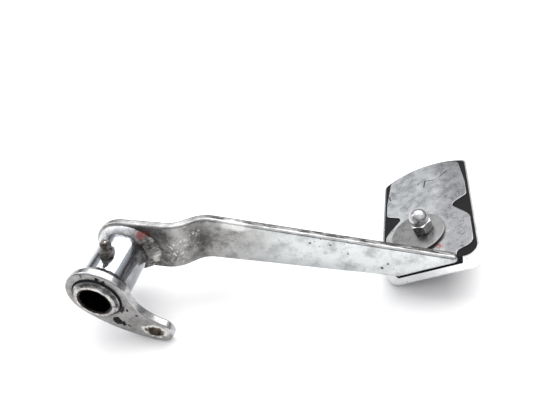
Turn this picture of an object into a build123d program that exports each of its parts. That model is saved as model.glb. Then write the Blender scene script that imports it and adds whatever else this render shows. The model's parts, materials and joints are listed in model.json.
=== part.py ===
"""Foot brake pedal lever of a cruiser motorcycle, as separate parts.

Frame: the origin is on the pivot axis, in the plane of the arm's inboard face. +X runs along the arm to
the foot pad, +Y runs along the pivot axis to the outboard side, and +Z is up as the lever lies on a bench.
"""
from build123d import *
from math import cos, radians, sin, sqrt, tan
import os

os.makedirs("parts", exist_ok=True)

# ---------------------------------------------------------------- driving dimensions, mm and degrees
# pivot
tube_r = 15.875                 # outside radius of the 1 1/4 in pivot tube
tube_bore_r = 11.1              # bore that the two bushings are pressed into
tube_relief_r = 12.2            # grease pocket between the bushings
tube_outboard_y = 7.5           # outboard end, just proud of the arm
tube_chamfer = 0.8
spigot_chamfer = 0.5
pocket_inboard_y = -24.9        # the grease pocket, with 1 mm tapered ends
pocket_outboard_y = -14.7
spigot_r = 14.5                 # turned inboard end that the actuating lever sits on
spigot_end_y = -44.5
shaft_bore_r = 9.55             # running bore for a 3/4 in pivot shaft
flange_r = 12.9                 # thrust flange of each bushing
flange_t = 1.9
bushing_length = 20.4           # whole length, flange included
bushing_lead = 0.7              # chamfer at the mouth of its bore
bushing_chamfer = 0.5
inboard_seal_proud = 0.3        # how far the seals stand out of their seats
seal_edge_r = 0.5
outboard_seal_t = 1.6
outboard_seal_width = 1.5

# arm
arm_t = 6.0                     # strap thickness
arm_edge_r = 2.0                # rounding of the strap's edges
eye_r = 20.7                    # round end of the strap about the pivot
arm_top_z = 23.2                # height of the top edge where it would pass the pivot axis
arm_top_fall = 0.032            # fall of the top edge per mm of length
arm_low_z = -15.2               # the same for the bottom edge
arm_low_rise = 0.049
knee_x = 27.0                   # where the top edge leaves the eye's tangent
knee_r = 90.0
jog_x = 40.4                    # middle of the sideways jog
jog_offset = 13.7               # how far the jog carries the strap outboard
jog_angle = 42.0
jog_r = 19.0                    # bend radius on the strap's middle line
heel_x = 176.0                  # lower corner of the slanted end
tip_r = 2.7                     # rounding of the strap's sharp tip
heel_r = 3.0

# actuating lever
lever_front_y = -43.0
lever_t = 5.5
lever_eye_r = 20.2
lever_tail_r = 8.5
lever_tail = (35.5, -24.8)      # centre of the round tail, x and z
lever_belly_r = 85.0            # long arc along the lever's underside
lever_throat_r = 27.0           # hollow arc along its top
clevis_hole = (32.4, -24.4)
clevis_hole_r = 4.0
lever_edge_r = 1.3
seal_r = 15.7                   # recess in the lever's face that the dust seal fills
seal_depth = 2.2

# welds on the tube, as the two legs of each bead
arm_bead = (2.4, 3.4)
arm_skirt_centre = (5.2, 1.5)   # foot of the wide cone of weld on the side of the strap, x and z
arm_skirt_r = 18.6
arm_skirt_reach = 5.5           # how far the cone climbs the tube
lever_bead = (2.4, 2.8)

# grease fitting, which stands on the tube halfway along it
fitting_y = -22.7
fitting_lean = 3.0              # lean from the vertical towards the arm
fitting_thread_r = 3.2
fitting_hex = 8.0               # across flats
fitting_hex_h = 4.3
fitting_hex_turn = 15.0
fitting_collar_r = 3.6
fitting_head_r = 3.35
fitting_neck_r = 2.45
fitting_mouth_r = 0.85
fitting_seat_gap = 0.05         # under the hexagon
fitting_top = 27.3              # distance of the nipple's mouth from the pivot axis
ball_r = 1.2
ball_chamber_r = 1.3
ball_height = 26.0              # distance of the ball's centre from the pivot axis, shut
spring_wire_r = 0.16

# foot pad; its plane is square to the arm's slanted end, and s runs up the slope from the arm's heel
pad_tilt = 31.2
pad_mid_s = 19.35
pad_near_y = 19.8               # inboard end of the rubber
pad_width = 61.0
pad_low_corner_y = 115.4        # outboard corners of the rubber, and the crown of the bowed edge between them
pad_high_corner_y = 117.4
pad_crown = (23.5, 125.8)
pad_near_corner_r = 8.5
pad_far_corner_r = 4.5
rubber_rim = -0.7               # height of the rubber's rim beside the back plate
tread_inset = 3.6
tread_bottom = -16.6
tread_taper = 7.0
tread_edge_r = 1.4
tread_groove = 2.2
groove_depth = 2.6
tread_count = 7
trim_t = 1.0                    # sheet thickness of the chrome frame
trim_gap = 0.1                  # slip between the rubber and the frame
trim_top = -0.9
trim_bottom = -13.5
trim_lip = 3.3                  # inward reach of the lip on the foot side
trim_edge_r = 2.6
notch_bottom = -5.7             # cut-out in the frame's inboard wall for the back plate's tongue
notch_start_s = -2.6
notch_end_s = 38.9
notch_slant = 2.0
notch_r = 1.2

# back plate, welded under the arm by its tongue; widths are half widths about the pad's middle
plate_t = 2.0
plate_edge_r = 0.5
plate_half = 29.0
plate_tip_half = 26.4           # the plate tapers a little towards its outboard corners
plate_taper_y = 92.0
plate_tip_y = 117.8
plate_crown = (23.5, 125.5)
plate_tip_r = 6.0
tongue_start_s = -1.9
tongue_end_s = 37.2
tongue_near_y = 16.7
tongue_y = 24.8                 # where the tongue widens into the plate
shoulder_y = 28.8
vee_apex_half = 17.0            # sharp apex of the lopsided vee notches, before rounding
vee_apex_y = 71.0
vee_far_y = 77.3
vee_near_y = 55.7
plate_fillets = (3.5, 7.0, 10.0, 3.4, 3.5, 30.0)     # along each side, from the tongue to the far end

# round doubler, stud, washer and nut
doubler_centre = (13.9, 48.9)   # s and y
doubler_r = 18.1
doubler_t = 2.2
doubler_edge_r = 0.4
insert_top = -3.6               # steel plate moulded into the rubber, which carries the stud
insert_t = 1.5
insert_inset = 9.0
stud_place = (18.2, 51.1)
stud_r = 3.97                   # 5/16 in stud
stud_hole_r = 4.3
stud_head_r = 8.0
stud_head_t = 2.0
stud_length = 13.9              # above the back plate's face
washer_t = 0.9
washer_r = 6.15
washer_slack = 0.25
washer_split = 1.0
nut_hex = 12.7
nut_hex_h = 6.2
nut_turn = 43.0                 # how the hexagon stands about the stud
nut_dome_r = 6.25
nut_height = 15.2
nut_chamfer = 0.6
nut_bore_slack = 0.05
nut_bore_depth = 11.3
weld_leg = 3.0                  # weld between the back plate and the arm
plate_weld_length = 27.0


# ---------------------------------------------------------------- planes
def pivot_plane(y):
    """Plane square to the pivot axis at a distance y, with sketch axes along +X and +Z."""
    return Plane(origin=(0, y, 0), x_dir=(1, 0, 0), z_dir=(0, -1, 0))


heel_z = arm_low_z + arm_low_rise * heel_x
pad_slope = tan(radians(pad_tilt))
slope_dir = Vector(cos(radians(pad_tilt)), 0, sin(radians(pad_tilt)))
pad_normal = Vector(-sin(radians(pad_tilt)), 0, cos(radians(pad_tilt)))


def pad_plane(height):
    """Plane of the pad's back plate, raised by height: sketch axes are the slope, and +Y."""
    return Plane(origin=Vector(heel_x, 0, heel_z) + pad_normal * height, x_dir=slope_dir, z_dir=pad_normal)


def stud_plane(height):
    """The pad plane with its origin moved to the stud."""
    plane = pad_plane(height)
    return Plane(origin=plane.from_local_coords(Vector(*stud_place, 0)), x_dir=slope_dir, z_dir=pad_normal)


fitting_axis = Vector(sin(radians(fitting_lean)), 0, cos(radians(fitting_lean)))


def fitting_plane(height):
    """Plane square to the grease fitting, at a distance from the pivot axis."""
    return Plane(origin=Vector(0, fitting_y, 0) + fitting_axis * height, x_dir=(0, 1, 0), z_dir=fitting_axis)


# profiles for turned pieces are drawn with the radius along sketch x and the axis along sketch y
fitting_profile_plane = Plane(
    origin=(0, fitting_y, 0), x_dir=(0, 1, 0), z_dir=Vector(0, 1, 0).cross(fitting_axis)
)
fitting_centre_line = Axis((0, fitting_y, 0), fitting_axis)
stud_profile_plane = Plane(origin=stud_plane(0).origin, x_dir=slope_dir, z_dir=(0, -1, 0))
stud_centre_line = Axis(stud_plane(0).origin, pad_normal)


# ---------------------------------------------------------------- profiles
def closed(*points):
    """Face bounded by straight lines through the points, for use inside a sketch."""
    with BuildLine() as outline:
        Polyline(*points, close=True)
    make_face(outline.edges())


def bead(corner, along, up, bulge=0.24):
    """Section of a fillet weld in the angle at a corner, with a rounded face between its two toes."""
    toe_a = (corner[0] + along, corner[1])
    toe_b = (corner[0], corner[1] + up)
    crown = (corner[0] + along * (0.5 + bulge / 2), corner[1] + up * (0.5 + bulge / 2))
    with BuildLine() as outline:
        Line(corner, toe_a)
        ThreePointArc(toe_a, crown, toe_b)
        Line(toe_b, corner)
    make_face(outline.edges())


def tangent_arc(centre_a, radius_a, centre_b, radius_b, radius, outside):
    """Arc tangent to two circles: a belly that wraps both, or with outside=True a hollow between them."""
    sign = 1 if outside else -1
    reach_a = radius + sign * radius_a
    reach_b = radius + sign * radius_b
    span = Vector(*centre_b) - Vector(*centre_a)
    along = (reach_a**2 - reach_b**2 + span.length**2) / (2 * span.length)
    aside = span.normalized().rotate(Axis.Z, 90) * sqrt(reach_a**2 - along**2)
    centre = Vector(*centre_a) + span.normalized() * along + aside
    start = centre + (Vector(*centre_a) - centre).normalized() * radius
    end = centre + (Vector(*centre_b) - centre).normalized() * radius
    middle = centre + ((start + end) / 2 - centre).normalized() * radius
    return ThreePointArc(start, middle, end)


# ---------------------------------------------------------------- arm
tip_x = (arm_top_z - heel_z + pad_slope * heel_x) / (pad_slope + arm_top_fall)
tip_z = arm_top_z - arm_top_fall * tip_x
knee_z = arm_top_z - arm_top_fall * knee_x
low_start_z = arm_low_z + arm_low_rise * eye_r / 2
jog_half = jog_offset / tan(radians(jog_angle)) / 2
skew = arm_t / 2 * tan(radians(jog_angle / 2))
arm_end_x = tip_x + 5
arm_back_y = jog_offset + arm_t

with BuildPart() as pedal_arm:
    with BuildSketch(Plane.XZ):
        with BuildLine():
            Polyline(
                (0, eye_r), (knee_x, knee_z), (tip_x, tip_z), (heel_x, heel_z), (eye_r / 2, low_start_z),
                close=True,
            )
        make_face()
        fillet(vertices().sort_by(Axis.Y)[-1], radius=knee_r)
        fillet(vertices().sort_by(Axis.X)[-1], radius=tip_r)
        fillet(vertices().filter_by_position(Axis.X, heel_x - 1, heel_x + 1), radius=heel_r)
        Circle(eye_r)
    extrude(amount=eye_r * 3, both=True)
    with BuildSketch(Plane.XY.offset(-eye_r * 2)):
        with BuildLine():
            front = FilletPolyline(
                (-eye_r * 2, 0), (jog_x - jog_half + skew, 0), (jog_x + jog_half + skew, jog_offset),
                (arm_end_x, jog_offset), radius=[jog_r + arm_t / 2, jog_r - arm_t / 2],
            )
            back = FilletPolyline(
                (-eye_r * 2, arm_t), (jog_x - jog_half - skew, arm_t), (jog_x + jog_half - skew, arm_back_y),
                (arm_end_x, arm_back_y), radius=[jog_r - arm_t / 2, jog_r + arm_t / 2],
            )
            Line(front @ 0, back @ 0)
            Line(front @ 1, back @ 1)
        make_face()
    extrude(amount=eye_r * 4, mode=Mode.INTERSECT)
    across = edges().filter_by(Axis.Y)
    fillet(edges() - across, radius=arm_edge_r)
    with BuildSketch(pivot_plane(-1)):
        Circle(tube_r)
    extrude(amount=-(arm_t + 2), mode=Mode.SUBTRACT)
pedal_arm.part.label = "pedal_arm"
export_step(pedal_arm.part, "parts/pedal_arm.step")

# ---------------------------------------------------------------- pivot tube and its linings
lever_back_y = lever_front_y + lever_t

with BuildPart() as pivot_tube:
    with BuildSketch(Plane.XY):
        closed(
            (tube_bore_r, spigot_end_y), (spigot_r - spigot_chamfer, spigot_end_y),
            (spigot_r, spigot_end_y + spigot_chamfer), (spigot_r, lever_back_y), (tube_r, lever_back_y),
            (tube_r, tube_outboard_y - tube_chamfer), (tube_r - tube_chamfer, tube_outboard_y),
            (tube_bore_r, tube_outboard_y), (tube_bore_r, pocket_outboard_y + 1),
            (tube_relief_r, pocket_outboard_y), (tube_relief_r, pocket_inboard_y),
            (tube_bore_r, pocket_inboard_y - 1),
        )
    revolve(axis=Axis.Y)
    with BuildSketch(fitting_plane(0)):
        Circle(fitting_thread_r)
    extrude(amount=tube_r + 1, mode=Mode.SUBTRACT)
pivot_tube.part.label = "pivot_tube"
export_step(pivot_tube.part, "parts/pivot_tube.step")


def bushing_profile(end_y, inward):
    """Half section of a flanged bushing whose flange sits on the tube's end; inward is +1 or -1 along y."""
    outer_y = end_y - inward * flange_t
    closed(
        (shaft_bore_r, outer_y + inward * bushing_lead), (shaft_bore_r + bushing_lead, outer_y),
        (flange_r - bushing_chamfer, outer_y), (flange_r, outer_y + inward * bushing_chamfer),
        (flange_r, end_y), (tube_bore_r, end_y),
        (tube_bore_r, outer_y + inward * (bushing_length - bushing_chamfer)),
        (tube_bore_r - bushing_chamfer, outer_y + inward * bushing_length),
        (shaft_bore_r, outer_y + inward * bushing_length),
    )


with BuildPart() as inboard_bushing:
    with BuildSketch(Plane.XY):
        bushing_profile(spigot_end_y, 1)
    revolve(axis=Axis.Y)
inboard_bushing.part.label = "inboard_bushing"
export_step(inboard_bushing.part, "parts/inboard_bushing.step")

with BuildPart() as outboard_bushing:
    with BuildSketch(Plane.XY):
        bushing_profile(tube_outboard_y, -1)
    revolve(axis=Axis.Y)
outboard_bushing.part.label = "outboard_bushing"
export_step(outboard_bushing.part, "parts/outboard_bushing.step")

with BuildPart() as inboard_dust_seal:
    with BuildSketch(Plane.XY):
        with Locations(((spigot_r + seal_r) / 2, lever_front_y + (seal_depth - inboard_seal_proud) / 2)):
            RectangleRounded(seal_r - spigot_r, seal_depth + inboard_seal_proud, seal_edge_r)
    revolve(axis=Axis.Y)
inboard_dust_seal.part.label = "inboard_dust_seal"
export_step(inboard_dust_seal.part, "parts/inboard_dust_seal.step")

with BuildPart() as outboard_dust_seal:
    with BuildSketch(Plane.XY):
        with Locations((flange_r + outboard_seal_width / 2, tube_outboard_y + outboard_seal_t / 2)):
            RectangleRounded(outboard_seal_width, outboard_seal_t, seal_edge_r)
    revolve(axis=Axis.Y)
outboard_dust_seal.part.label = "outboard_dust_seal"
export_step(outboard_dust_seal.part, "parts/outboard_dust_seal.step")

# ---------------------------------------------------------------- actuating lever
tail_x, tail_z = lever_tail

with BuildPart() as actuating_lever:
    with BuildSketch(pivot_plane(lever_front_y)):
        with BuildLine():
            belly = tangent_arc((0, 0), lever_eye_r, lever_tail, lever_tail_r, lever_belly_r, outside=False)
            throat = tangent_arc((0, 0), lever_eye_r, lever_tail, lever_tail_r, lever_throat_r, outside=True)
            Line(belly @ 0, throat @ 0)
            Line(belly @ 1, throat @ 1)
        make_face()
        Circle(lever_eye_r)
        with Locations(lever_tail):
            Circle(lever_tail_r)
    extrude(amount=-lever_t)
    rims = faces().filter_by(Axis.Y).edges()
    fillet(rims, radius=lever_edge_r)
    with BuildSketch(pivot_plane(lever_front_y)):
        Circle(spigot_r)
        with Locations(clevis_hole):
            Circle(clevis_hole_r)
    extrude(amount=-lever_t, mode=Mode.SUBTRACT)
    with BuildSketch(pivot_plane(lever_front_y)):
        Circle(seal_r)
    extrude(amount=-seal_depth, mode=Mode.SUBTRACT)
actuating_lever.part.label = "actuating_lever"
export_step(actuating_lever.part, "parts/actuating_lever.step")

# ---------------------------------------------------------------- welds on the tube
skirt_land = 0.3

with BuildPart() as arm_weld:
    with BuildSketch(Plane.XY):
        bead((tube_r, 0), arm_bead[0], -arm_bead[1])
    revolve(axis=Axis.Y)
    with BuildSketch(pivot_plane(0)):
        with Locations(arm_skirt_centre):
            Circle(arm_skirt_r)
    with BuildSketch(pivot_plane(-arm_skirt_reach)):
        Circle(tube_r + skirt_land)
    loft()
    with BuildSketch(pivot_plane(-arm_skirt_reach)):
        Circle(tube_r)
    extrude(amount=-arm_skirt_reach, mode=Mode.SUBTRACT)
arm_weld.part.label = "arm_weld"
export_step(arm_weld.part, "parts/arm_weld.step")

with BuildPart() as lever_weld:
    with BuildSketch(Plane.XY):
        bead((tube_r, lever_back_y), lever_bead[0], lever_bead[1], bulge=-0.1)
    revolve(axis=Axis.Y)
lever_weld.part.label = "lever_weld"
export_step(lever_weld.part, "parts/lever_weld.step")

# ---------------------------------------------------------------- grease fitting
hex_base = tube_r + fitting_seat_gap
hex_top = hex_base + fitting_hex_h
mouth_r = fitting_mouth_r
hex_chamfer = (0.6, 0.35)
neck_low = hex_top + 1.2
neck_high = hex_top + 2.1
head_low = hex_top + 3.7
head_high = hex_top + 5.2
cone_start = fitting_top - 0.3          # the ball's seat, a cone below the mouth
cone_end = cone_start - 0.8
shank_bottom = tube_relief_r + 0.3
spring_seat = shank_bottom + 0.5

with BuildPart() as grease_fitting:
    with BuildSketch(fitting_plane(hex_base)):
        RegularPolygon(radius=fitting_hex / 2, side_count=6, major_radius=False, rotation=fitting_hex_turn)
    extrude(amount=fitting_hex_h)
    with BuildSketch(fitting_profile_plane):
        corner_r = fitting_hex / 2 / cos(radians(30))
        closed(
            (0, hex_base), (corner_r, hex_base), (corner_r, hex_top - hex_chamfer[1]),
            (corner_r - hex_chamfer[0], hex_top), (0, hex_top),
        )
    revolve(axis=fitting_centre_line, mode=Mode.INTERSECT)
    with BuildSketch(fitting_profile_plane):
        closed(
            (0, shank_bottom), (fitting_thread_r - 0.5, shank_bottom),
            (fitting_thread_r, shank_bottom + 0.5), (fitting_thread_r, hex_base),
            (fitting_collar_r, hex_base), (fitting_collar_r, hex_top), (fitting_neck_r, neck_low),
            (fitting_neck_r, neck_high), (fitting_head_r - 0.2, head_low - 0.5), (fitting_head_r, head_low),
            (fitting_head_r, head_high), (fitting_head_r - 1.2, fitting_top), (0, fitting_top),
        )
    revolve(axis=fitting_centre_line)
    with BuildSketch(fitting_profile_plane):
        closed(
            (0, shank_bottom), (mouth_r, shank_bottom), (mouth_r, spring_seat),
            (ball_chamber_r, spring_seat), (ball_chamber_r, cone_end), (mouth_r, cone_start),
            (mouth_r, fitting_top), (0, fitting_top),
        )
    revolve(axis=fitting_centre_line, mode=Mode.SUBTRACT)
grease_fitting.part.label = "grease_fitting"
export_step(grease_fitting.part, "parts/grease_fitting.step")

with BuildPart(fitting_plane(ball_height)) as grease_check_ball:
    Sphere(ball_r)
grease_check_ball.part.label = "grease_check_ball"
export_step(grease_check_ball.part, "parts/grease_check_ball.step")

spring_slack = 0.1
spring_r = ball_chamber_r - spring_wire_r - spring_slack
spring_start = spring_seat + spring_wire_r + 0.03
spring_height = ball_height - 1.0 - spring_wire_r - spring_start
spring_turns = 7

with BuildPart() as grease_check_spring:
    with BuildLine() as coil:
        Helix(
            pitch=spring_height / spring_turns, height=spring_height, radius=spring_r,
            center=fitting_plane(spring_start).origin, direction=fitting_axis,
        )
    with BuildSketch(Plane(origin=coil.line @ 0, z_dir=coil.line % 0)):
        Circle(spring_wire_r)
    sweep(path=coil.line)
grease_check_spring.part.label = "grease_check_spring"
export_step(grease_check_spring.part, "parts/grease_check_spring.step")

# ---------------------------------------------------------------- outlines in the pad plane
pad_low_s = pad_mid_s - pad_width / 2
pad_high_s = pad_mid_s + pad_width / 2

with BuildSketch() as rubber_outline:
    with BuildLine():
        ThreePointArc((pad_low_s, pad_low_corner_y), pad_crown, (pad_high_s, pad_high_corner_y))
        Polyline(
            (pad_high_s, pad_high_corner_y), (pad_high_s, pad_near_y), (pad_low_s, pad_near_y),
            (pad_low_s, pad_low_corner_y),
        )
    make_face()
    fillet(vertices().group_by(Axis.Y)[0], radius=pad_near_corner_r)
    far_corners = vertices().filter_by_position(Axis.Y, pad_low_corner_y, pad_high_corner_y)
    fillet(far_corners, radius=pad_far_corner_r)

with BuildSketch() as plate_outline:
    with BuildLine():
        for side, tongue_s in ((-1, tongue_start_s), (1, tongue_end_s)):
            edge_s = pad_mid_s + side * plate_half
            FilletPolyline(
                (tongue_s, tongue_near_y), (tongue_s, tongue_y), (edge_s, shoulder_y), (edge_s, vee_near_y),
                (pad_mid_s + side * vee_apex_half, vee_apex_y), (edge_s, vee_far_y), (edge_s, plate_taper_y),
                (pad_mid_s + side * plate_tip_half, plate_tip_y),
                radius=plate_fillets,
            )
        ThreePointArc(
            (pad_mid_s - plate_tip_half, plate_tip_y), plate_crown, (pad_mid_s + plate_tip_half, plate_tip_y)
        )
        Line((tongue_start_s, tongue_near_y), (tongue_end_s, tongue_near_y))
    make_face()
    fillet(vertices().filter_by_position(Axis.Y, plate_tip_y - 0.1, plate_tip_y + 0.1), radius=plate_tip_r)

# ---------------------------------------------------------------- back plate, doubler and weld
with BuildPart() as pad_back_plate:
    with BuildSketch(pad_plane(-plate_t)):
        add(plate_outline.sketch)
        with Locations(stud_place):
            Circle(stud_hole_r, mode=Mode.SUBTRACT)
    extrude(amount=plate_t)
    top_edges = faces().sort_by(Axis((0, 0, 0), pad_normal))[-1].outer_wire().edges()
    fillet(top_edges, radius=plate_edge_r)
pad_back_plate.part.label = "pad_back_plate"
export_step(pad_back_plate.part, "parts/pad_back_plate.step")

with BuildPart() as stud_doubler:
    with BuildSketch(pad_plane(0)):
        with Locations(doubler_centre):
            Circle(doubler_r)
    extrude(amount=doubler_t)
    fillet(faces().sort_by(Axis((0, 0, 0), pad_normal))[-1].edges(), radius=doubler_edge_r)
    with BuildSketch(pad_plane(0)):
        with Locations(stud_place):
            Circle(stud_hole_r)
    extrude(amount=doubler_t, mode=Mode.SUBTRACT)
stud_doubler.part.label = "stud_doubler"
export_step(stud_doubler.part, "parts/stud_doubler.step")

plate_weld_plane = Plane(
    origin=pad_plane(0).from_local_coords(Vector(weld_leg / 2, 0, 0)), x_dir=(0, 1, 0), z_dir=slope_dir
)

with BuildPart() as plate_weld:
    with BuildSketch(plate_weld_plane):
        bead((arm_back_y, 0), weld_leg, weld_leg)
    extrude(amount=plate_weld_length)
plate_weld.part.label = "plate_weld"
export_step(plate_weld.part, "parts/plate_weld.step")

# ---------------------------------------------------------------- foot pad
lip_top = trim_bottom + trim_t

with BuildPart() as pad_trim:
    with BuildSketch(pad_plane(trim_bottom)):
        offset(rubber_outline.sketch, amount=trim_gap + trim_t)
    extrude(amount=trim_top - trim_bottom)
    foot_edges = faces().sort_by(Axis((0, 0, 0), pad_normal))[0].edges()
    fillet(foot_edges, radius=trim_edge_r)
    with BuildSketch(pad_plane(lip_top)):
        offset(rubber_outline.sketch, amount=trim_gap)
    extrude(amount=trim_top - lip_top, mode=Mode.SUBTRACT)
    with BuildSketch(pad_plane(trim_bottom)):
        offset(rubber_outline.sketch, amount=-trim_lip)
    extrude(amount=trim_t, mode=Mode.SUBTRACT)
    with BuildSketch(Plane(origin=(heel_x, pad_near_y + 1, heel_z), x_dir=slope_dir, z_dir=(0, -1, 0))):
        with BuildLine():
            FilletPolyline(
                (notch_start_s - notch_slant, 1), (notch_start_s, notch_bottom), (notch_end_s, notch_bottom),
                (notch_end_s + notch_slant, 1), radius=notch_r, close=True,
            )
        make_face()
    extrude(amount=trim_gap + trim_t + 2, mode=Mode.SUBTRACT)
pad_trim.part.label = "pad_trim"
export_step(pad_trim.part, "parts/pad_trim.step")

tread_near_y = pad_near_y + tread_inset
tread_pitch = (pad_crown[1] - tread_inset - tread_near_y) / tread_count

with BuildPart() as pad_rubber:
    with BuildSketch(pad_plane(lip_top)):
        add(rubber_outline.sketch)
    extrude(amount=rubber_rim - lip_top)
    with BuildSketch(pad_plane(lip_top)):
        offset(rubber_outline.sketch, amount=-tread_inset)
    extrude(amount=tread_bottom - lip_top, taper=tread_taper)
    tread_edges = faces().sort_by(Axis((0, 0, 0), pad_normal))[0].edges()
    fillet(tread_edges, radius=tread_edge_r)
    for index in range(1, tread_count):
        with BuildSketch(pad_plane(tread_bottom - 1)):
            with Locations((pad_mid_s, tread_near_y + index * tread_pitch)):
                Rectangle(pad_width, tread_groove)
        extrude(amount=groove_depth + 1, mode=Mode.SUBTRACT)
    with BuildSketch(pad_plane(-plate_t)):
        add(plate_outline.sketch)
    extrude(amount=plate_t, mode=Mode.SUBTRACT)
    with BuildSketch(pad_plane(insert_top - insert_t)):
        offset(rubber_outline.sketch, amount=-insert_inset)
    extrude(amount=insert_t, mode=Mode.SUBTRACT)
    with BuildSketch(stud_plane(insert_top)):
        Circle(stud_r)
    extrude(amount=-plate_t - insert_top, mode=Mode.SUBTRACT)
    with BuildSketch(stud_plane(insert_top - insert_t - stud_head_t)):
        Circle(stud_head_r)
    extrude(amount=stud_head_t, mode=Mode.SUBTRACT)
pad_rubber.part.label = "pad_rubber"
export_step(pad_rubber.part, "parts/pad_rubber.step")

with BuildPart() as pad_insert_plate:
    with BuildSketch(pad_plane(insert_top - insert_t)):
        offset(rubber_outline.sketch, amount=-insert_inset)
        with Locations(stud_place):
            Circle(stud_r, mode=Mode.SUBTRACT)
    extrude(amount=insert_t)
pad_insert_plate.part.label = "pad_insert_plate"
export_step(pad_insert_plate.part, "parts/pad_insert_plate.step")

# ---------------------------------------------------------------- stud, washer and nut
head_top = insert_top - insert_t
thread_chamfer = 0.9

with BuildPart() as pad_stud:
    with BuildSketch(stud_profile_plane):
        closed(
            (0, head_top - stud_head_t), (stud_head_r, head_top - stud_head_t), (stud_head_r, head_top),
            (stud_r, head_top), (stud_r, stud_length - thread_chamfer),
            (stud_r - thread_chamfer, stud_length), (0, stud_length),
        )
    revolve(axis=stud_centre_line)
pad_stud.part.label = "pad_stud"
export_step(pad_stud.part, "parts/pad_stud.step")

split_plane = Plane(origin=stud_plane(doubler_t).origin, x_dir=(0, 1, 0), z_dir=slope_dir)

with BuildPart() as lock_washer:
    with BuildSketch(stud_plane(doubler_t)):
        Circle(washer_r)
        Circle(stud_r + washer_slack, mode=Mode.SUBTRACT)
    extrude(amount=washer_t)
    with BuildSketch(split_plane):
        Rectangle(washer_split, 3 * washer_t)
    extrude(amount=washer_r + 1, mode=Mode.SUBTRACT)
lock_washer.part.label = "lock_washer"
export_step(lock_washer.part, "parts/lock_washer.step")

nut_base = doubler_t + washer_t
nut_corner_r = nut_hex / 2 / cos(radians(30))
dome_centre = nut_base + nut_height - nut_dome_r

with BuildPart() as acorn_nut:
    with BuildSketch(stud_plane(nut_base)):
        RegularPolygon(radius=nut_hex / 2, side_count=6, major_radius=False, rotation=nut_turn)
    extrude(amount=nut_height)
    with BuildSketch(stud_profile_plane):
        with BuildLine():
            outline = Polyline(
                (0, nut_base), (nut_corner_r - nut_chamfer, nut_base), (nut_corner_r, nut_base + nut_chamfer),
                (nut_corner_r, nut_base + nut_hex_h - nut_chamfer), (nut_dome_r, nut_base + nut_hex_h),
                (nut_dome_r, dome_centre),
            )
            RadiusArc(outline @ 1, (0, dome_centre + nut_dome_r), -nut_dome_r)
            Line((0, dome_centre + nut_dome_r), (0, nut_base))
        make_face()
    revolve(axis=stud_centre_line, mode=Mode.INTERSECT)
    with BuildSketch(stud_profile_plane):
        bore_r = stud_r + nut_bore_slack
        closed(
            (0, nut_base), (bore_r + nut_chamfer, nut_base), (bore_r, nut_base + nut_chamfer),
            (bore_r, nut_base + nut_bore_depth), (0, nut_base + nut_bore_depth + 1),
        )
    revolve(axis=stud_centre_line, mode=Mode.SUBTRACT)
acorn_nut.part.label = "acorn_nut"
export_step(acorn_nut.part, "parts/acorn_nut.step")
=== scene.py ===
import json
import math

import bmesh
import bpy
from mathutils import Matrix, Vector, noise

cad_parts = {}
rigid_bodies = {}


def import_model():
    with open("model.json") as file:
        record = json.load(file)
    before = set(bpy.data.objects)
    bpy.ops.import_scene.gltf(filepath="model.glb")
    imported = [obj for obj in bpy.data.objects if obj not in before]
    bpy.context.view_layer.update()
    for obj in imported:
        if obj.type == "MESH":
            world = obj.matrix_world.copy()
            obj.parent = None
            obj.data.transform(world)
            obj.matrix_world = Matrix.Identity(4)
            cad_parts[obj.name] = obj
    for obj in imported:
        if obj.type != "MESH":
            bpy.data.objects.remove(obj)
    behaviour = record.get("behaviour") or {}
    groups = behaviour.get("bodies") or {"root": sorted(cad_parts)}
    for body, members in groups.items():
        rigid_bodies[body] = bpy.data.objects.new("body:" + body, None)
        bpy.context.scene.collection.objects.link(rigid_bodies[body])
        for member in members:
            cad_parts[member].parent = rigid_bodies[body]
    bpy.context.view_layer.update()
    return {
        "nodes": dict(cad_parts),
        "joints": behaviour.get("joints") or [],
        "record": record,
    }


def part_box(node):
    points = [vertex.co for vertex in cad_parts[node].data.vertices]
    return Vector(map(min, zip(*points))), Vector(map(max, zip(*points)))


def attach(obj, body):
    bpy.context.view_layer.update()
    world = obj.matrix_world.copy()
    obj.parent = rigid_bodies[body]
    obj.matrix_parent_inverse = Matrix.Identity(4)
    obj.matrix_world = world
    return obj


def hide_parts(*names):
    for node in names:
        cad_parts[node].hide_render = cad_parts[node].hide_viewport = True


# Looks of the foot brake pedal: floor, lights, camera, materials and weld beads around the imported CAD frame.
for leftover in list(bpy.data.objects):
    bpy.data.objects.remove(leftover)
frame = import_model()
nodes = frame["nodes"]
record = frame["record"]
joints = {joint["name"]: joint for joint in frame["joints"]}
MM = 0.001

# ---------------------------------------------------------------- places read from the frame
pad_normal = Vector(joints["nut_lift"]["axis"]).normalized()
stud_point = Vector(joints["nut_turn"]["pos_m"])
slope_dir = Vector((0, 1, 0)).cross(pad_normal).normalized()
clevis_point = Vector([m for m in record["mounts"] if m["name"] == "clevis_hole"][0]["pos_m"])
tube_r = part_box("pivot_tube")[1].z
arm_back_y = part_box("pedal_arm")[1].y
lever_front_y, lever_back_y = (corner.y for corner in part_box("actuating_lever"))
fitting_y = sum(corner.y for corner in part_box("grease_fitting")) / 2
PIVOT_AXIS = (0, 1, 0)


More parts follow.
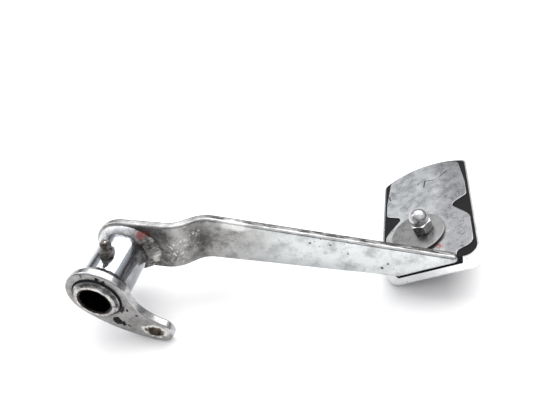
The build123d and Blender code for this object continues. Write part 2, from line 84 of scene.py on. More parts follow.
# ---------------------------------------------------------------- materials
class Surface:
    """A procedural finish: each method adds nodes and returns an output socket."""

    def __init__(self, name):
        self.material = bpy.data.materials.new(name)
        self.material.use_nodes = True
        self.tree = self.material.node_tree
        self.shader = self.tree.nodes["Principled BSDF"]
        self.where = self.add("ShaderNodeTexCoord").outputs["Object"]

    def add(self, kind, **settings):
        node = self.tree.nodes.new(kind)
        for key, value in settings.items():
            setattr(node, key, value)
        return node

    def put(self, socket, value):
        if isinstance(value, bpy.types.NodeSocket):
            self.tree.links.new(value, socket)
        elif isinstance(value, tuple) and len(value) == 3 and len(socket.default_value) == 4:
            socket.default_value = (*value, 1)
        else:
            socket.default_value = value

    def mapped(self, scale, stretch=(1, 1, 1), turn=(0, 0, 0), shift=(0, 0, 0)):
        node = self.add("ShaderNodeMapping")
        self.put(node.inputs["Vector"], self.where)
        node.inputs["Scale"].default_value = [scale * s for s in stretch]
        node.inputs["Rotation"].default_value = [math.radians(t) for t in turn]
        node.inputs["Location"].default_value = shift
        return node.outputs["Vector"]

    def noise(self, scale, detail=4, rough=0.55, **mapping):
        """Cloudy values near 0.5; scale is in cycles per metre."""
        node = self.add("ShaderNodeTexNoise")
        self.put(node.inputs["Vector"], self.mapped(scale, **mapping))
        node.inputs["Scale"].default_value = 1
        node.inputs["Detail"].default_value = detail
        node.inputs["Roughness"].default_value = rough
        return node.outputs["Fac"]

    def cells(self, scale, **mapping):
        """Distance to the nearest of many scattered points, so a low value is a small round speck."""
        node = self.add("ShaderNodeTexVoronoi")
        self.put(node.inputs["Vector"], self.mapped(scale, **mapping))
        node.inputs["Scale"].default_value = 1
        return node.outputs["Distance"]

    def span(self, value, low, high, out_low=0.0, out_high=1.0, smooth=True):
        """Maps low..high onto out_low..out_high, and holds the ends beyond them."""
        node = self.add("ShaderNodeMapRange")
        node.interpolation_type = "SMOOTHSTEP" if smooth else "LINEAR"
        self.put(node.inputs["Value"], value)
        ends = {"From Min": low, "From Max": high, "To Min": out_low, "To Max": out_high}
        for name, number in ends.items():
            node.inputs[name].default_value = number
        return node.outputs["Result"]

    def maths(self, operation, a, b=0.0):
        node = self.add("ShaderNodeMath", operation=operation)
        self.put(node.inputs[0], a)
        self.put(node.inputs[1], b)
        return node.outputs["Value"]

    def times(self, *values):
        product = values[0]
        for value in values[1:]:
            product = self.maths("MULTIPLY", product, value)
        return product

    def plus(self, *values):
        total = values[0]
        for value in values[1:]:
            total = self.maths("ADD", total, value)
        return total

    def most(self, *values):
        largest = values[0]
        for value in values[1:]:
            largest = self.maths("MAXIMUM", largest, value)
        return largest

    def without(self, value):
        return self.maths("SUBTRACT", 1.0, value)

    def wander(self, scale, reach, detail=5, **noise_settings):
        """Unevenness to add to a distance, from -reach to +reach, in metres."""
        cloud = self.noise(scale, detail=detail, **noise_settings)
        return self.span(cloud, 0, 1, -reach, reach, smooth=False)

    def mix(self, share, a, b):
        node = self.add("ShaderNodeMix", data_type="RGBA")
        self.put(node.inputs["Factor"], share)
        self.put(node.inputs[6], a)
        self.put(node.inputs[7], b)
        return node.outputs[2]

    def spot(self, centre, radius, fade, wobble=0.0, grain=400, stretch=(1, 1, 1)):
        """1 inside a ragged blob about a point, in metres, falling to 0 over the fade."""
        away = self.add("ShaderNodeVectorMath", operation="SUBTRACT")
        self.put(away.inputs[0], self.where)
        away.inputs[1].default_value = centre
        scaled = self.add("ShaderNodeVectorMath", operation="MULTIPLY")
        self.put(scaled.inputs[0], away.outputs[0])
        scaled.inputs[1].default_value = stretch
        length = self.add("ShaderNodeVectorMath", operation="LENGTH")
        self.put(length.inputs[0], scaled.outputs[0])
        distance = length.outputs["Value"]
        if wobble:
            distance = self.plus(distance, self.wander(grain, wobble, rough=0.65))
        return self.span(distance, radius - fade / 2, radius + fade / 2, 1.0, 0.0)

    def spots(self, blobs, fade, wobble, grain):
        """1 inside any of several spots, each a centre and a radius in mm."""
        return self.most(*(
            self.spot(Vector(centre) * MM, radius * MM, fade, wobble, grain) for centre, radius in blobs
        ))

    def along(self, direction, origin=(0, 0, 0)):
        """Distance along a direction from an origin, in metres."""
        node = self.add("ShaderNodeVectorMath", operation="DOT_PRODUCT")
        self.put(node.inputs[0], self.where)
        node.inputs[1].default_value = direction
        offset = Vector(direction).dot(Vector(origin))
        return self.maths("SUBTRACT", node.outputs["Value"], offset)

    def from_axis(self, axis, origin=(0, 0, 0)):
        """Distance from a line through the origin along the axis, in metres."""
        away = self.add("ShaderNodeVectorMath", operation="SUBTRACT")
        self.put(away.inputs[0], self.where)
        away.inputs[1].default_value = origin
        cross = self.add("ShaderNodeVectorMath", operation="CROSS_PRODUCT")
        self.put(cross.inputs[0], away.outputs[0])
        cross.inputs[1].default_value = axis
        length = self.add("ShaderNodeVectorMath", operation="LENGTH")
        self.put(length.inputs[0], cross.outputs[0])
        return length.outputs["Value"]

    def stroke(self, a, b, half_width):
        """1 on the straight line between two points, in metres, with a slightly wandering edge."""
        run = b - a
        share = self.span(self.along(run / run.length_squared, a), 0, 1, smooth=False)
        foot = self.add("ShaderNodeVectorMath", operation="MULTIPLY_ADD")
        self.put(foot.inputs[0], share)
        foot.inputs[1].default_value = run
        foot.inputs[2].default_value = a
        away = self.add("ShaderNodeVectorMath", operation="DISTANCE")
        self.put(away.inputs[0], self.where)
        self.put(away.inputs[1], foot.outputs["Vector"])
        distance = self.plus(away.outputs["Value"], self.wander(700, 0.4 * half_width, detail=2))
        return self.span(distance, half_width * 0.6, half_width * 1.4, 1.0, 0.0)

    def facing(self, direction, low, high):
        """1 where the surface faces the direction more than high, 0 where less than low."""
        normal = self.add("ShaderNodeTexCoord").outputs["Normal"]
        node = self.add("ShaderNodeVectorMath", operation="DOT_PRODUCT")
        self.put(node.inputs[0], normal)
        node.inputs[1].default_value = direction
        return self.span(node.outputs["Value"], low, high)

    def scratches(self, turn, fine=1400, length=28, width=0.004, amount=0.5):
        """Thin curved lines that mostly follow one direction, in patches; a higher amount fills more."""
        lines = self.noise(1, detail=1.5, rough=0.5, stretch=(length, fine, fine), turn=turn)
        line = self.span(self.maths("ABSOLUTE", self.maths("SUBTRACT", lines, 0.5)), 0, width, 1.0, 0.0)
        threshold = 0.62 - amount * 0.3
        patchy = self.span(self.noise(90, detail=3, shift=(3, 1, 2)), threshold, threshold + 0.10)
        return self.times(line, patchy)

    def bump(self, *layers):
        """Layers of (height socket, depth in metres), added up."""
        total = self.plus(*(self.times(height, depth) for height, depth in layers))
        node = self.add("ShaderNodeBump")
        node.inputs["Strength"].default_value = 1
        node.inputs["Distance"].default_value = 1
        self.put(node.inputs["Height"], total)
        self.put(self.shader.inputs["Normal"], node.outputs["Normal"])

    def finish(self, colour, roughness, metallic=1.0):
        self.put(self.shader.inputs["Base Color"], colour)
        self.put(self.shader.inputs["Roughness"], roughness)
        self.put(self.shader.inputs["Metallic"], metallic)
        return self.material


def mottled(s, dark, light, scale, low=0.35, high=0.65):
    """Base colour that drifts between two tones in wide and fine blotches."""
    wide = s.noise(scale, detail=6, rough=0.62)
    fine = s.noise(scale * 4.1, detail=4, rough=0.6, shift=(7, 3, 5))
    share = s.plus(s.times(wide, 0.7), s.times(fine, 0.3))
    return s.mix(s.span(share, low, high), dark, light)


def grey(level):
    return (level, level, level)


# start and end of each nick through the plating on the arm's jog, in mm
FLECKS = (
    ((30.2, 0.6, 6.2), (31.6, 0.9, 3.4)),
    ((32.0, 1.2, 0.4), (33.2, 1.5, -2.4)),
    ((36.4, 4.2, 6.5), (37.4, 5.0, -2.4)),
    ((38.6, 6.0, 17.4), (44.2, 10.9, 12.4)),
    ((48.5, 13.4, 15.0), (50.5, 13.7, 13.0)),
)
FLECK_HALF_WIDTH = 0.35 * MM
# centre and radius of each larger pit in the arm's face, in mm
ARM_PITS = (
    ((164.7, 13.7, -0.1), 1.0),
    ((167.8, 13.7, 4.1), 0.7),
    ((142.6, 13.7, 8.1), 0.6),
    ((118.5, 13.7, 13.1), 0.8),
    ((10.7, 4.0, 20.0), 1.0),
    ((131.0, 13.7, 13.5), 0.7),
)


def arm_finish():
    s = Surface("arm_chrome")
    front = s.facing((0, -1, 0), 0.55, 0.85)
    along_arm = s.along((1, 0, 0))
    bright = mottled(s, grey(0.24), grey(0.54), 70)
    dull = mottled(s, (0.12, 0.115, 0.11), (0.38, 0.37, 0.36), 95, 0.36, 0.60)
    middle_x = s.plus(along_arm, s.wander(60, 0.03))
    toward_pad = s.span(middle_x, 0.045, 0.115)
    face = s.mix(toward_pad, dull, mottled(s, (0.36, 0.37, 0.37), (0.68, 0.70, 0.70), 80, 0.32, 0.60))
    band = s.span(s.along((0, 0, 1)), -0.012, 0.004, 1.0, 0.0)
    low_grey = s.times(band, s.span(middle_x, 0.07, 0.1), s.span(middle_x, 0.13, 0.17, 1.0, 0.0), 0.55)
    face = s.mix(low_grey, face, (0.25, 0.26, 0.28))
    colour = s.mix(front, bright, face)
    # tarnish in patches along the outboard side of the top edge
    back_edge = s.facing((0, 0.42, 0.91), 0.80, 0.93)
    patches = s.span(s.noise(1, detail=5, rough=0.7, stretch=(85, 320, 85)), 0.46, 0.54)
    patches = s.times(patches, back_edge, s.span(along_arm, 0.045, 0.06))
    dulled = s.times(back_edge, s.span(along_arm, 0.03, 0.06), 0.85)
    colour = s.mix(dulled, colour, grey(0.13))
    colour = s.mix(s.times(patches, 0.9), colour, (0.05, 0.045, 0.04))
    # painted reflection: a thin dark line on the front of the rounded top edge, just under its highlight
    top_edge_dark_reflection = s.times(s.facing((0, -0.94, 0.34), 0.985, 0.997), s.span(along_arm, 0.03, 0.05))
    colour = s.mix(s.times(top_edge_dark_reflection, 0.75), colour, grey(0.06))
    # burnt, greasy ring about the weld, and the shaded hollow of the jog
    ring = s.times(s.span(s.from_axis(PIVOT_AXIS), 0.018, 0.029, 1.0, 0.0), front)
    ring = s.times(ring, s.span(s.noise(210, detail=6, rough=0.7), 0.3, 0.55))
    ring = s.times(ring, s.span(along_arm, 0.001, 0.012))
    colour = s.mix(ring, colour, (0.045, 0.04, 0.04))
    hollow = s.spot((0.047, 0.009, 0.008), 0.010, 0.012, wobble=0.006, grain=180, stretch=(1.5, 1, 0.6))
    colour = s.mix(s.times(hollow, 0.6), colour, (0.03, 0.028, 0.026))
    pits = s.times(
        s.span(s.cells(420), 0.10, 0.2, 1.0, 0.0),
        s.span(s.noise(45, detail=3, shift=(2, 8, 1)), 0.52, 0.6),
        front,
    )
    pits = s.most(pits, s.spots(ARM_PITS, 0.6 * MM, wobble=0.5 * MM, grain=1500))
    colour = s.mix(s.times(pits, 0.85), colour, (0.04, 0.035, 0.03))
    flecks = s.span(s.noise(520, detail=5, rough=0.75), 0.57, 0.62)
    zone = s.spot((0.036, 0.004, 0.002), 0.010, 0.010, wobble=0.004)
    flecks = s.times(flecks, s.most(zone, s.spot((0.0445, 0.008, 0.013), 0.004, 0.004)), front)
    for start, end in FLECKS:
        flecks = s.most(flecks, s.stroke(Vector(start) * MM, Vector(end) * MM, FLECK_HALF_WIDTH))
    # painted highlight: a bright streak on the front face near its top edge
    painted_highlight_streak = s.spot((0.069, 0.0137, 0.0185), 0.0042, 0.004, wobble=0.002, stretch=(0.45, 1, 1.3))
    colour = s.mix(s.times(painted_highlight_streak, 0.8), colour, (0.80, 0.80, 0.78))
    colour = s.mix(flecks, colour, (0.85, 0.85, 0.82))
    # a dab of red paint beside the weld
    red = s.spot(
        (0.0150, -0.0005, 0.0150), 0.0030, 0.0022, wobble=0.0018, grain=600, stretch=(0.8, 0.3, 1.3)
    )
    red = s.times(red, s.span(s.noise(700, detail=4), 0.35, 0.55), 0.85)
    colour = s.mix(red, colour, (0.30, 0.035, 0.03))
    lines = s.scratches((0, 8, 0), fine=1500, length=24, width=0.006, amount=0.9)
    cross = s.scratches((0, 55, 10), fine=1700, length=60, width=0.005, amount=0.6)
    colour = s.mix(s.times(lines, 0.35), colour, grey(0.85))
    rough = s.plus(
        s.span(s.noise(160, detail=5, rough=0.65), 0.3, 0.7, 0.14, 0.42),
        s.times(front, 0.08),
        s.times(s.most(patches, ring, pits), 0.35),
        s.times(cross, 0.15),
    )
    s.bump(
        (s.noise(75, detail=4), 0.00035),
        (s.noise(420, detail=5, rough=0.6), 0.00007),
        (pits, -0.00012),
        (lines, -0.000012),
        (flecks, 0.00004),
        (patches, -0.00005),
    )
    return s.finish(colour, rough)


def tube_finish():
    s = Surface("tube_chrome")
    haze = s.span(s.noise(110, detail=6, rough=0.6), 0.42, 0.68)
    colour = s.mix(haze, (0.42, 0.44, 0.475), (0.30, 0.315, 0.34))
    # painted dark reflection down the side of the tube that faces +X
    dark_reflection_side = s.facing((1, 0, 0.12), 0.72, 0.95)
    colour = s.mix(s.times(dark_reflection_side, 0.75), colour, mottled(s, (0.10, 0.10, 0.105), (0.30, 0.30, 0.31), 90))
    along_tube = s.along(PIVOT_AXIS)
    # dark mottling at both ends: grime, and at the end by the arm also a painted dark reflection
    ends = s.most(
        s.span(along_tube, -0.0085, -0.0040),
        s.span(along_tube, -0.0365, -0.0325, 1.0, 0.0),
    )
    grime = s.times(ends, s.span(s.noise(260, detail=6, rough=0.7), 0.3, 0.6))
    colour = s.mix(s.times(grime, 0.85), colour, (0.09, 0.08, 0.075))
    near_fitting = s.spot(Vector((0, fitting_y, tube_r)), 0.0046, 0.0010, wobble=0.0012, grain=700)
    colour = s.mix(s.times(near_fitting, 0.7), colour, (0.10, 0.09, 0.08))
    specks = s.times(s.span(s.cells(600), 0.07, 0.13, 1.0, 0.0), s.span(s.noise(90, detail=3), 0.52, 0.6))
    colour = s.mix(specks, colour, (0.15, 0.12, 0.10))
    lines = s.scratches((0, 0, 78), fine=1600, length=30, width=0.006, amount=0.8)
    smear = s.span(s.noise(1, detail=4, rough=0.6, stretch=(150, 40, 150)), 0.5, 0.72, 0.0, 0.12)
    rough = s.plus(
        s.span(haze, 0, 1, 0.05, 0.13),
        smear,
        s.times(s.most(grime, specks), 0.35),
        s.times(lines, 0.15),
    )
    s.bump((s.noise(130, detail=3), 0.00006), (lines, -0.000008), (specks, -0.00003))
    return s.finish(colour, rough)


# place in X and Z and radius of each flake off the lever's front face, in mm
LEVER_FLAKES = (
    (9.0, -19.0, 3.2),
    (12.5, -21.2, 2.0),
    (17.6, -7.1, 0.8),
    (4.0, 16.2, 1.6),
    (7.2, 14.2, 1.3),
    (-5.8, 17.8, 0.9),
    (16.0, -22.5, 0.9),
    (22.5, -11.5, 0.6),
    (14.5, -2.5, 0.7),
)


def lever_finish():
    s = Surface("lever_chrome")
    front = s.facing((0, -1, 0), 0.6, 0.9)
    face = mottled(s, (0.17, 0.165, 0.16), (0.36, 0.355, 0.35), 90, 0.3, 0.65)
    colour = s.mix(front, mottled(s, grey(0.30), (0.58, 0.58, 0.59), 80), face)
    # plating flaked off down to black, mostly near the bore
    widest = Vector((0.0137, lever_front_y, -0.0062))
    flaked = s.spot(widest, 0.0024, 0.0005, wobble=0.0030, grain=420, stretch=(1, 1, 0.55))
    flakes = [((x, lever_front_y / MM, z), radius) for x, z, radius in LEVER_FLAKES]
    flaked = s.most(flaked, s.spots(flakes, 0.5 * MM, wobble=3.4 * MM, grain=420))
    # bright worn patch about the clevis hole, with grease at its rim; its wall is dark with grease and rust
    # and with painted shade
    worn_point = clevis_point + Vector((0.0004, 0, 0.0009))
    wear = s.spot(worn_point, 0.0067, 0.0008, wobble=0.0050, grain=380, stretch=(0.85, 0.5, 1.15))
    wear = s.times(wear, front)
    greasy = s.spot(clevis_point, 0.0053, 0.0010, wobble=0.0036, grain=460, stretch=(0.85, 0.3, 1.2))
    greasy = s.times(greasy, s.span(s.noise(330, detail=5, rough=0.7), 0.40, 0.48))
    # the clevis hole's wall: painted shade, with grease and rust
    wall = s.span(s.from_axis(PIVOT_AXIS, clevis_point), 0.0041, 0.0044, 1.0, 0.0)
    greasy = s.most(greasy, wall)
    tail = s.spot(clevis_point + Vector((0.0065, 0, 0.0015)), 0.0050, 0.0030, wobble=0.0030, grain=300)
    colour = s.mix(s.times(tail, front, 0.8), colour, (0.62, 0.61, 0.60))
    colour = s.mix(wear, colour, (0.78, 0.77, 0.74))
    colour = s.mix(s.times(greasy, 0.9), colour, (0.075, 0.05, 0.03))
    colour = s.mix(s.times(flaked, front), colour, (0.02, 0.018, 0.017))
    specks = s.times(
        s.span(s.cells(520), 0.08, 0.15, 1.0, 0.0),
        s.span(s.noise(85, detail=3), 0.54, 0.62),
        front,
    )
    colour = s.mix(s.times(specks, 0.8), colour, (0.06, 0.05, 0.045))
    grime = s.times(s.span(s.from_axis(PIVOT_AXIS), 0.0155, 0.0180, 1.0, 0.0), front)
    grime = s.times(grime, s.span(s.noise(300, detail=5), 0.4, 0.6), 0.6)
    colour = s.mix(grime, colour, (0.10, 0.09, 0.085))
    lines = s.scratches((0, 35, 0), fine=1500, length=30, width=0.006, amount=0.8)
    rough = s.plus(
        s.span(s.noise(200, detail=5), 0.3, 0.7, 0.12, 0.30),
        s.times(front, 0.08),
        s.times(s.most(flaked, wear, greasy), 0.35),
        s.times(lines, 0.15),
    )
    s.bump(
        (s.noise(90, detail=4), 0.00018),
        (flaked, -0.00012),
        (s.noise(500, detail=4), 0.00004),
        (wear, -0.00005),
        (lines, -0.00001),
    )
    return s.finish(colour, rough)


def weld_finish():
    s = Surface("weld_chrome")
    rugged = mottled(s, (0.035, 0.03, 0.03), (0.26, 0.25, 0.24), 150, 0.38, 0.6)
    plated = mottled(s, (0.32, 0.33, 0.34), (0.70, 0.71, 0.73), 90, 0.3, 0.6)
    colour = s.mix(s.span(s.along((0.97, 0, -0.22)), -0.004, 0.011), plated, rugged)
    lump = s.spot((0.0225, -0.001, -0.0035), 0.0050, 0.003, wobble=0.002)
    colour = s.mix(s.times(lump, 0.9), colour, mottled(s, (0.22, 0.21, 0.19), (0.66, 0.65, 0.62), 320))
    at_lever = s.span(s.along(PIVOT_AXIS), -0.034, -0.030, 1.0, 0.0)
    colour = s.mix(s.times(at_lever, 0.8), colour, mottled(s, (0.05, 0.045, 0.045), (0.34, 0.33, 0.33), 260))
    red = s.times(s.spot((0.0125, -0.001, 0.0140), 0.0030, 0.001, wobble=0.0018), 0.6)
    colour = s.mix(red, colour, (0.28, 0.03, 0.03))
    s.bump((s.noise(330, detail=5), 0.00022), (s.noise(900, detail=3), 0.00006))
    return s.finish(colour, s.span(s.noise(240, detail=4), 0.3, 0.7, 0.22, 0.5))


def bushing_finish():
    s = Surface("bushing_steel")
    # dark inside the bore and a little way out over the end face: grease, and painted shade of the deep bore
    ragged = s.span(s.noise(500, detail=4), 0, 1, -0.0005, 0.0005)
    away = s.plus(s.from_axis(PIVOT_AXIS), ragged)
    inside = s.span(away, 0.0107, 0.0111, 1.0, 0.0)
    colour = mottled(s, (0.30, 0.29, 0.28), (0.66, 0.65, 0.63), 200)
    colour = s.mix(inside, colour, mottled(s, (0.008, 0.007, 0.007), (0.035, 0.03, 0.028), 160))
    smear = s.span(s.noise(260, detail=5, rough=0.7), 0.52, 0.62)
    colour = s.mix(s.times(smear, 0.7), colour, (0.05, 0.042, 0.035))
    turned = s.noise(1, detail=2, stretch=(200, 2600, 200))
    s.bump((turned, 0.00002), (s.noise(300, detail=4), 0.00006))
    return s.finish(colour, s.span(s.noise(220, detail=4), 0.3, 0.7, 0.16, 0.42))


def plate_point(up_slope_mm, out_mm):
    """Point on the back plate, from the stud: so far up its slope and along +Y."""
    return stud_point + slope_dir * up_slope_mm * MM + Vector((0, out_mm * MM, 0))


# start, end and half width in mm of each stroke of the plate's long bent scratch and two short
# nicks; a start or end is its place up the slope and along +Y from the stud
SCRATCHES = (
    ((0.8, 48.1), (1.8, 55.7), 0.45),
    ((1.8, 55.7), (7.4, 53.3), 0.34),
    ((7.4, 53.3), (11.5, 53.9), 0.36),
    ((11.5, 53.9), (18.6, 59.7), 0.45),
    ((-4.2, 52.9), (-2.6, 55.2), 0.45),
    ((-26.4, 49.1), (-25.2, 44.3), 0.45),
)


def plate_finish():
    s = Surface("plate_zinc")
    up_slope = s.along(slope_dir, stud_point)
    out = s.along((0, 1, 0), stud_point)
    wavy = s.wander(45, 0.012)
    colour = mottled(s, (0.60, 0.62, 0.635), (0.68, 0.70, 0.71), 40, 0.3, 0.7)
    high = s.span(s.plus(up_slope, wavy), 0.004, 0.020)
    spangle = s.span(s.noise(330, detail=6, rough=0.72), 0.44, 0.60)
    blotch = s.span(s.noise(120, detail=5, rough=0.65, shift=(4, 4, 4)), 0.42, 0.62)
    colour = s.mix(s.times(high, 0.8), colour, (0.28, 0.28, 0.29))
    colour = s.mix(s.times(high, s.times(spangle, blotch), 0.8), colour, (0.12, 0.12, 0.13))
    # painted reflection of the arm: a darker grey-brown area on the plate's lower part towards the arm
    arm_reflection = s.span(s.plus(out, wavy), -0.006, 0.016, 1.0, 0.0)
    arm_reflection = s.times(arm_reflection, s.span(s.plus(up_slope, wavy), 0.0, 0.016, 1.0, 0.0), 0.6)
    colour = s.mix(arm_reflection, colour, (0.40, 0.39, 0.37))
    grime = s.times(
        s.span(s.noise(180, detail=6, rough=0.75), 0.56, 0.70),
        s.span(up_slope, -0.02, 0.02, 0.08, 0.4),
    )
    colour = s.mix(grime, colour, (0.24, 0.23, 0.22))
    on_disc = s.span(s.along(pad_normal, stud_point), 0.0005, 0.0010)
    colour = s.mix(s.times(on_disc, 0.75), colour, (0.27, 0.265, 0.265))
    # painted shade: the side walls of the plate and the disc, where they face away from the pad's normal, near
    # black
    wall = s.facing(pad_normal, 0.35, 0.8)
    colour = s.mix(s.without(wall), colour, (0.035, 0.033, 0.03))
    arc = s.most(*(
        s.stroke(plate_point(*start), plate_point(*end), half_width * MM)
        for start, end, half_width in SCRATCHES
    ))
    arc = s.times(arc, s.span(s.noise(300, detail=3, shift=(1, 6, 2)), 0.34, 0.44))
    lines = s.scratches((0, 30, 35), fine=1500, length=34, width=0.005, amount=0.7)
    marks = s.most(arc, s.times(lines, 0.25))
    colour = s.mix(marks, colour, (0.035, 0.03, 0.03))
    red = s.spot(plate_point(8.9, -18.3), 0.0022, 0.002, wobble=0.0014)
    colour = s.mix(s.times(red, s.span(s.noise(600, detail=3), 0.4, 0.5), 0.7), colour, (0.35, 0.04, 0.035))
    rough = s.plus(
        s.span(s.noise(150, detail=5), 0.3, 0.7, 0.22, 0.40),
        s.times(spangle, high, 0.12),
        s.times(marks, 0.2),
    )
    s.bump(
        (s.noise(30, detail=2), 0.0006),
        (s.noise(240, detail=5, rough=0.7), 0.00003),
        (s.times(spangle, high), -0.00003),
        (marks, -0.00004),
    )
    return s.finish(colour, rough)


def trim_finish():
    s = Surface("trim_chrome")
    colour = mottled(s, (0.66, 0.67, 0.68), (0.84, 0.85, 0.86), 60)
    dirt = s.span(s.noise(260, detail=6, rough=0.75), 0.60, 0.68)
    colour = s.mix(s.times(dirt, 0.7), colour, (0.20, 0.19, 0.18))
    lines = s.scratches((0, -30, 5), fine=1600, length=24, width=0.006, amount=0.8)
    rough = s.plus(
        s.span(s.noise(150, detail=5), 0.35, 0.7, 0.06, 0.22),
        s.times(s.most(dirt, lines), 0.25),
    )
    s.bump((s.noise(80, detail=3), 0.00008), (lines, -0.00001), (dirt, -0.00001))
    return s.finish(colour, rough)


def nut_finish():
    s = Surface("nut_chrome")
    height = s.along(pad_normal, stud_point)
    # hex darker and dome lighter: painted shade and painted light on the one chrome, over a mottled tone
    dome = s.span(height, 0.0088, 0.0098)
    hex_tone = mottled(s, grey(0.20), grey(0.42), 300)
    dome_tone = mottled(s, (0.36, 0.36, 0.37), (0.58, 0.58, 0.59), 260)
    colour = s.mix(dome, hex_tone, dome_tone)
    # painted highlight: a bright reflection line where the dome meets the hex
    rim = s.times(s.span(height, 0.0084, 0.0088), s.span(height, 0.0092, 0.0096, 1.0, 0.0), 0.6)
    colour = s.mix(rim, colour, grey(0.8))
    lines = s.scratches((20, 60, 0), fine=1800, length=80, width=0.006, amount=0.8)
    rough = s.plus(s.span(s.noise(300, detail=5), 0.3, 0.7, 0.12, 0.28), s.times(lines, 0.15))
    s.bump((s.noise(420, detail=4), 0.00004), (lines, -0.00001))
    return s.finish(colour, rough)


def plain_steel(name, dark, light, rough_low, rough_high, scale=260):
    s = Surface(name)
    colour = mottled(s, dark, light, scale)
    stain = s.times(s.span(s.noise(scale * 1.7, detail=6, rough=0.75), 0.55, 0.68), 0.7)
    colour = s.mix(stain, colour, (0.06, 0.045, 0.035))
    lines = s.scratches((10, 40, 20), fine=1800, length=90, width=0.006, amount=0.7)
    rough = s.plus(
        s.span(s.noise(scale, detail=4), 0.3, 0.7, rough_low, rough_high),
        s.times(lines, 0.15),
    )
    s.bump((s.noise(scale * 2.2, detail=5), 0.00005), (lines, -0.00001), (stain, -0.00002))
    return s.finish(colour, rough)


def rubber_finish(name, coarse):
    s = Surface(name)
    dust = s.span(s.noise(80, detail=6, rough=0.72), 0.50, 0.74)
    scuff = s.times(s.scratches((0, 25, 15), fine=900, length=40, width=0.01, amount=0.9), 0.6)
    colour = s.mix(s.most(s.times(dust, 0.6), scuff), (0.004, 0.004, 0.0045), (0.022, 0.021, 0.020))
    s.bump((s.noise(1600, detail=4), coarse), (s.noise(240, detail=4), coarse), (scuff, -0.00002))
    s.shader.inputs["Specular IOR Level"].default_value = 0.2
    return s.finish(colour, s.span(dust, 0, 1, 0.62, 0.85), 0.0)


finishes = {
    "arm_chrome": arm_finish(),
    "tube_chrome": tube_finish(),
    "lever_chrome": lever_finish(),
    "weld_chrome": weld_finish(),
    "bushing_steel": bushing_finish(),
    "fitting_steel": plain_steel("fitting_steel", (0.05, 0.045, 0.04), (0.20, 0.19, 0.175), 0.25, 0.5),
    "ball_steel": plain_steel("ball_steel", grey(0.6), (0.82, 0.82, 0.83), 0.06, 0.15),
    "spring_steel": plain_steel("spring_steel", grey(0.3), grey(0.5), 0.2, 0.35),
    "plate_zinc": plate_finish(),
    "trim_chrome": trim_finish(),
    "stud_steel": plain_steel("stud_steel", grey(0.10), grey(0.30), 0.25, 0.45),
    "nut_chrome": nut_finish(),
    "seal_rubber": rubber_finish("seal_rubber", 0.00002),
    "pad_rubber": rubber_finish("pad_rubber", 0.00006),
}
slot_of = {entry["node"]: entry["material_slot"] for entry in record["subparts"]}
for name, node in nodes.items():
    node.data.materials.clear()
    node.data.materials.append(finishes[slot_of[name]])


# ---------------------------------------------------------------- weld beads, laid in overlapping ripples
PROFILE_POINTS = 9
BEAD_HOLLOW = 1.6  # 1 is a flat fillet, more is a hollower one
BEAD_ROOT = -0.04  # how far the bead's root is sunk into the corner, as a share of its legs
RING_STEPS = 720
SKIRT_TURN = 8  # degrees from +X towards +Z, where the arm's bead is widest
SKIRT_SPREAD = 0.85  # radians over which it narrows again


def weld(name, node, sections, closed):
    """Sweeps a bead through its sections, each a corner and two leg vectors to the bead's toes."""
    mesh = bmesh.new()
    rings = []
    for corner, leg_a, leg_b in sections:
        row = [corner + leg_a * BEAD_ROOT + leg_b * BEAD_ROOT]
        for k in range(PROFILE_POINTS):
            turn = math.pi / 2 * k / (PROFILE_POINTS - 1)
            row.append(
                corner + leg_a * math.cos(turn) ** BEAD_HOLLOW + leg_b * math.sin(turn) ** BEAD_HOLLOW
            )
        rings.append([mesh.verts.new(point) for point in row])
    count = len(rings)
    for i in range(count if closed else count - 1):
        here, there = rings[i], rings[(i + 1) % count]
        for k in range(len(here)):
            j = (k + 1) % len(here)
            mesh.faces.new((here[k], there[k], there[j], here[j]))
    if not closed:
        mesh.faces.new(rings[0])
        mesh.faces.new(list(reversed(rings[-1])))
    bmesh.ops.recalc_face_normals(mesh, faces=mesh.faces)
    data = bpy.data.meshes.new(name)
    mesh.to_mesh(data)
    mesh.free()
    data.shade_smooth()
    data.materials.append(finishes[slot_of[node]])
    piece = bpy.data.objects.new(name, data)
    bpy.context.scene.collection.objects.link(piece)
    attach(piece, "root")
    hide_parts(node)


def ripple(turn, count, seed, depth=0.10):
    """Scalloped height of a bead made of overlapping puddles, with some unevenness."""
    puddle = abs(math.sin(turn * count / 2)) ** 0.7
    uneven = noise.noise(Vector((math.cos(turn) * 2.1, math.sin(turn) * 2.1, seed)))
    return 1 - depth + depth * puddle + 0.10 * uneven


def around(turn, degrees):
    """Signed angle from a direction about the pivot."""
    return (turn - math.radians(degrees) + math.pi) % (2 * math.pi) - math.pi


def ring_weld(name, node, y, side, legs, count, seed, skirt=(0.0, 0.0), rugged=0.0):
    """Bead round the pivot tube at y, its face looking along side; a skirt widens it towards +X."""
    sections = []
    for i in range(RING_STEPS):
        turn = math.radians(i * 360 / RING_STEPS)
        radial = Vector((math.cos(turn), 0, math.sin(turn)))
        wide = math.exp(-(around(turn, SKIRT_TURN) / SKIRT_SPREAD) ** 2)
        crest = noise.fractal(Vector((math.cos(turn) * 3.4, math.sin(turn) * 3.4, seed)), 0.8, 2.0, 3)
        size = ripple(turn, count, seed, 0.04 + 0.10 * wide if rugged else 0.10)
        out = (legs[0] + skirt[0] * wide) * size + rugged * wide * crest
        climb = (legs[1] + skirt[1] * wide) * size
        corner = radial * tube_r + Vector((0, y, 0))
        sections.append((corner, radial * out, Vector((0, side * climb, 0))))
    weld(name, node, sections, True)


def straight_weld(name, node, start, run, leg, inset, steps=120):
    """Bead up the plate's slope along the arm's back face, thinner at its two ends."""
    sections = []
    for i in range(steps + 1):
        share = i / steps
        size = ripple(share * 6.0, 16, 3.1) * (1 - 0.5 * abs(2 * share - 1) ** 6)
        corner = start + slope_dir * (inset + share * (run - 2 * inset))
        sections.append((corner, Vector((0, leg * size, 0)), pad_normal * leg * size))
    weld(name, node, sections, False)


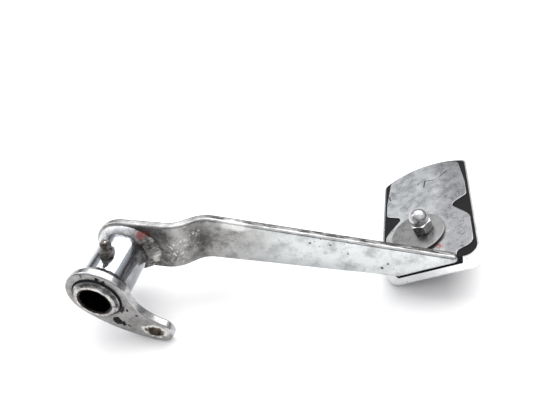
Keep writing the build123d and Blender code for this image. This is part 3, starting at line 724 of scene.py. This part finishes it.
skirt_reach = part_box("arm_weld")[1].x - tube_r - 2.4 * MM
ring_weld(
    "arm_weld_bead", "arm_weld", y=0.0, side=-1, legs=(3.0 * MM, 4.4 * MM), count=30, seed=1.7,
    skirt=(skirt_reach, 1.3 * MM), rugged=1.6 * MM,
)
ring_weld(
    "lever_weld_bead", "lever_weld", y=lever_back_y, side=1, legs=(3.0 * MM, 4.2 * MM), count=26, seed=6.3
)
weld_low, weld_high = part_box("plate_weld")
weld_run = (weld_high.x - weld_low.x) / slope_dir.x
plate_corner = stud_point + slope_dir * ((weld_low.x - stud_point.x) / slope_dir.x)
plate_corner.y = arm_back_y
straight_weld("plate_weld_bead", "plate_weld", plate_corner, weld_run, leg=2.9 * MM, inset=1.2 * MM)


# ---------------------------------------------------------------- floor, under the lever's tail and the pad
FLOOR_SIZE = 30
FLOOR_GAP = 0.1 * MM


def lowest(name):
    return min((v.co for v in nodes[name].data.vertices), key=lambda co: co.z)


tail_touch = lowest("actuating_lever")
pad_touch = lowest("pad_rubber")
floor_slope = math.atan2(pad_touch.z - tail_touch.z, pad_touch.x - tail_touch.x)
bpy.ops.mesh.primitive_plane_add(size=FLOOR_SIZE)
floor = bpy.context.object
floor.name = "floor"
floor.rotation_euler = (0, -floor_slope, 0)
floor.location = tail_touch - Vector((0, 0, FLOOR_GAP))
paper = Surface("white_sweep")
floor.data.materials.append(paper.finish(grey(0.98), 0.75, 0.0))

# ---------------------------------------------------------------- light
def panel(name, place, target, size, power):
    """Rectangular soft light at a place, looking at a target; its power is in watts."""
    light = bpy.data.lights.new(name, "AREA")
    light.shape = "RECTANGLE"
    light.size, light.size_y = size
    light.energy = power
    lamp = bpy.data.objects.new(name, light)
    bpy.context.scene.collection.objects.link(lamp)
    lamp.location = place
    lamp.rotation_euler = (Vector(target) - Vector(place)).to_track_quat("-Z", "Y").to_euler()


middle = (0.1, 0.04, 0)
panel("overhead", (0.05, 0.45, 0.95), middle, (1.5, 1.1), 11)
panel("left_box", (-0.9, 0.2, 0.45), middle, (0.4, 0.7), 2)

# height in the sky and its brightness: bright low down, a dark band above that, light again overhead
SKY_LEVELS = ((0.11, 0.9), (0.15, 0.12), (0.26, 0.12), (0.38, 0.60), (0.55, 1.0), (0.8, 1.25))
SKY_STRENGTH = 0.9
world = bpy.data.worlds.new("studio")
bpy.context.scene.world = world
world.use_nodes = True
sky = world.node_tree
background = sky.nodes["Background"]
look = sky.nodes.new("ShaderNodeTexCoord").outputs["Generated"]
split = sky.nodes.new("ShaderNodeSeparateXYZ")
sky.links.new(look, split.inputs[0])
ramp = sky.nodes.new("ShaderNodeValToRGB")
sky.links.new(split.outputs["Z"], ramp.inputs["Fac"])
ramp.color_ramp.elements[0].color = (*grey(0.95), 1)
ramp.color_ramp.elements[1].color = (*grey(1.3), 1)
for position, level in SKY_LEVELS:
    stop = ramp.color_ramp.elements.new(position)
    stop.color = (level, level, level * 1.02, 1)
sky.links.new(ramp.outputs["Color"], background.inputs["Color"])
background.inputs["Strength"].default_value = SKY_STRENGTH

# ---------------------------------------------------------------- camera
CAMERA_PLACE = (0.140573, -0.213364, 0.231492)
LENS_MM = 32.92
SENSOR_MM = 36
right = Vector((0.981446, 0.191741, 0.0))
up = Vector((-0.122553, 0.627300, 0.769074))
camera_data = bpy.data.cameras.new("camera")
camera_data.sensor_width = SENSOR_MM
camera_data.lens = LENS_MM
camera_data.clip_start = 0.01
camera = bpy.data.objects.new("camera", camera_data)
bpy.context.scene.collection.objects.link(camera)
aim = Matrix((right, up, right.cross(up))).transposed().to_4x4()
camera.matrix_world = Matrix.Translation(CAMERA_PLACE) @ aim
bpy.context.scene.camera = camera
bpy.context.scene.view_settings.view_transform = "Standard"
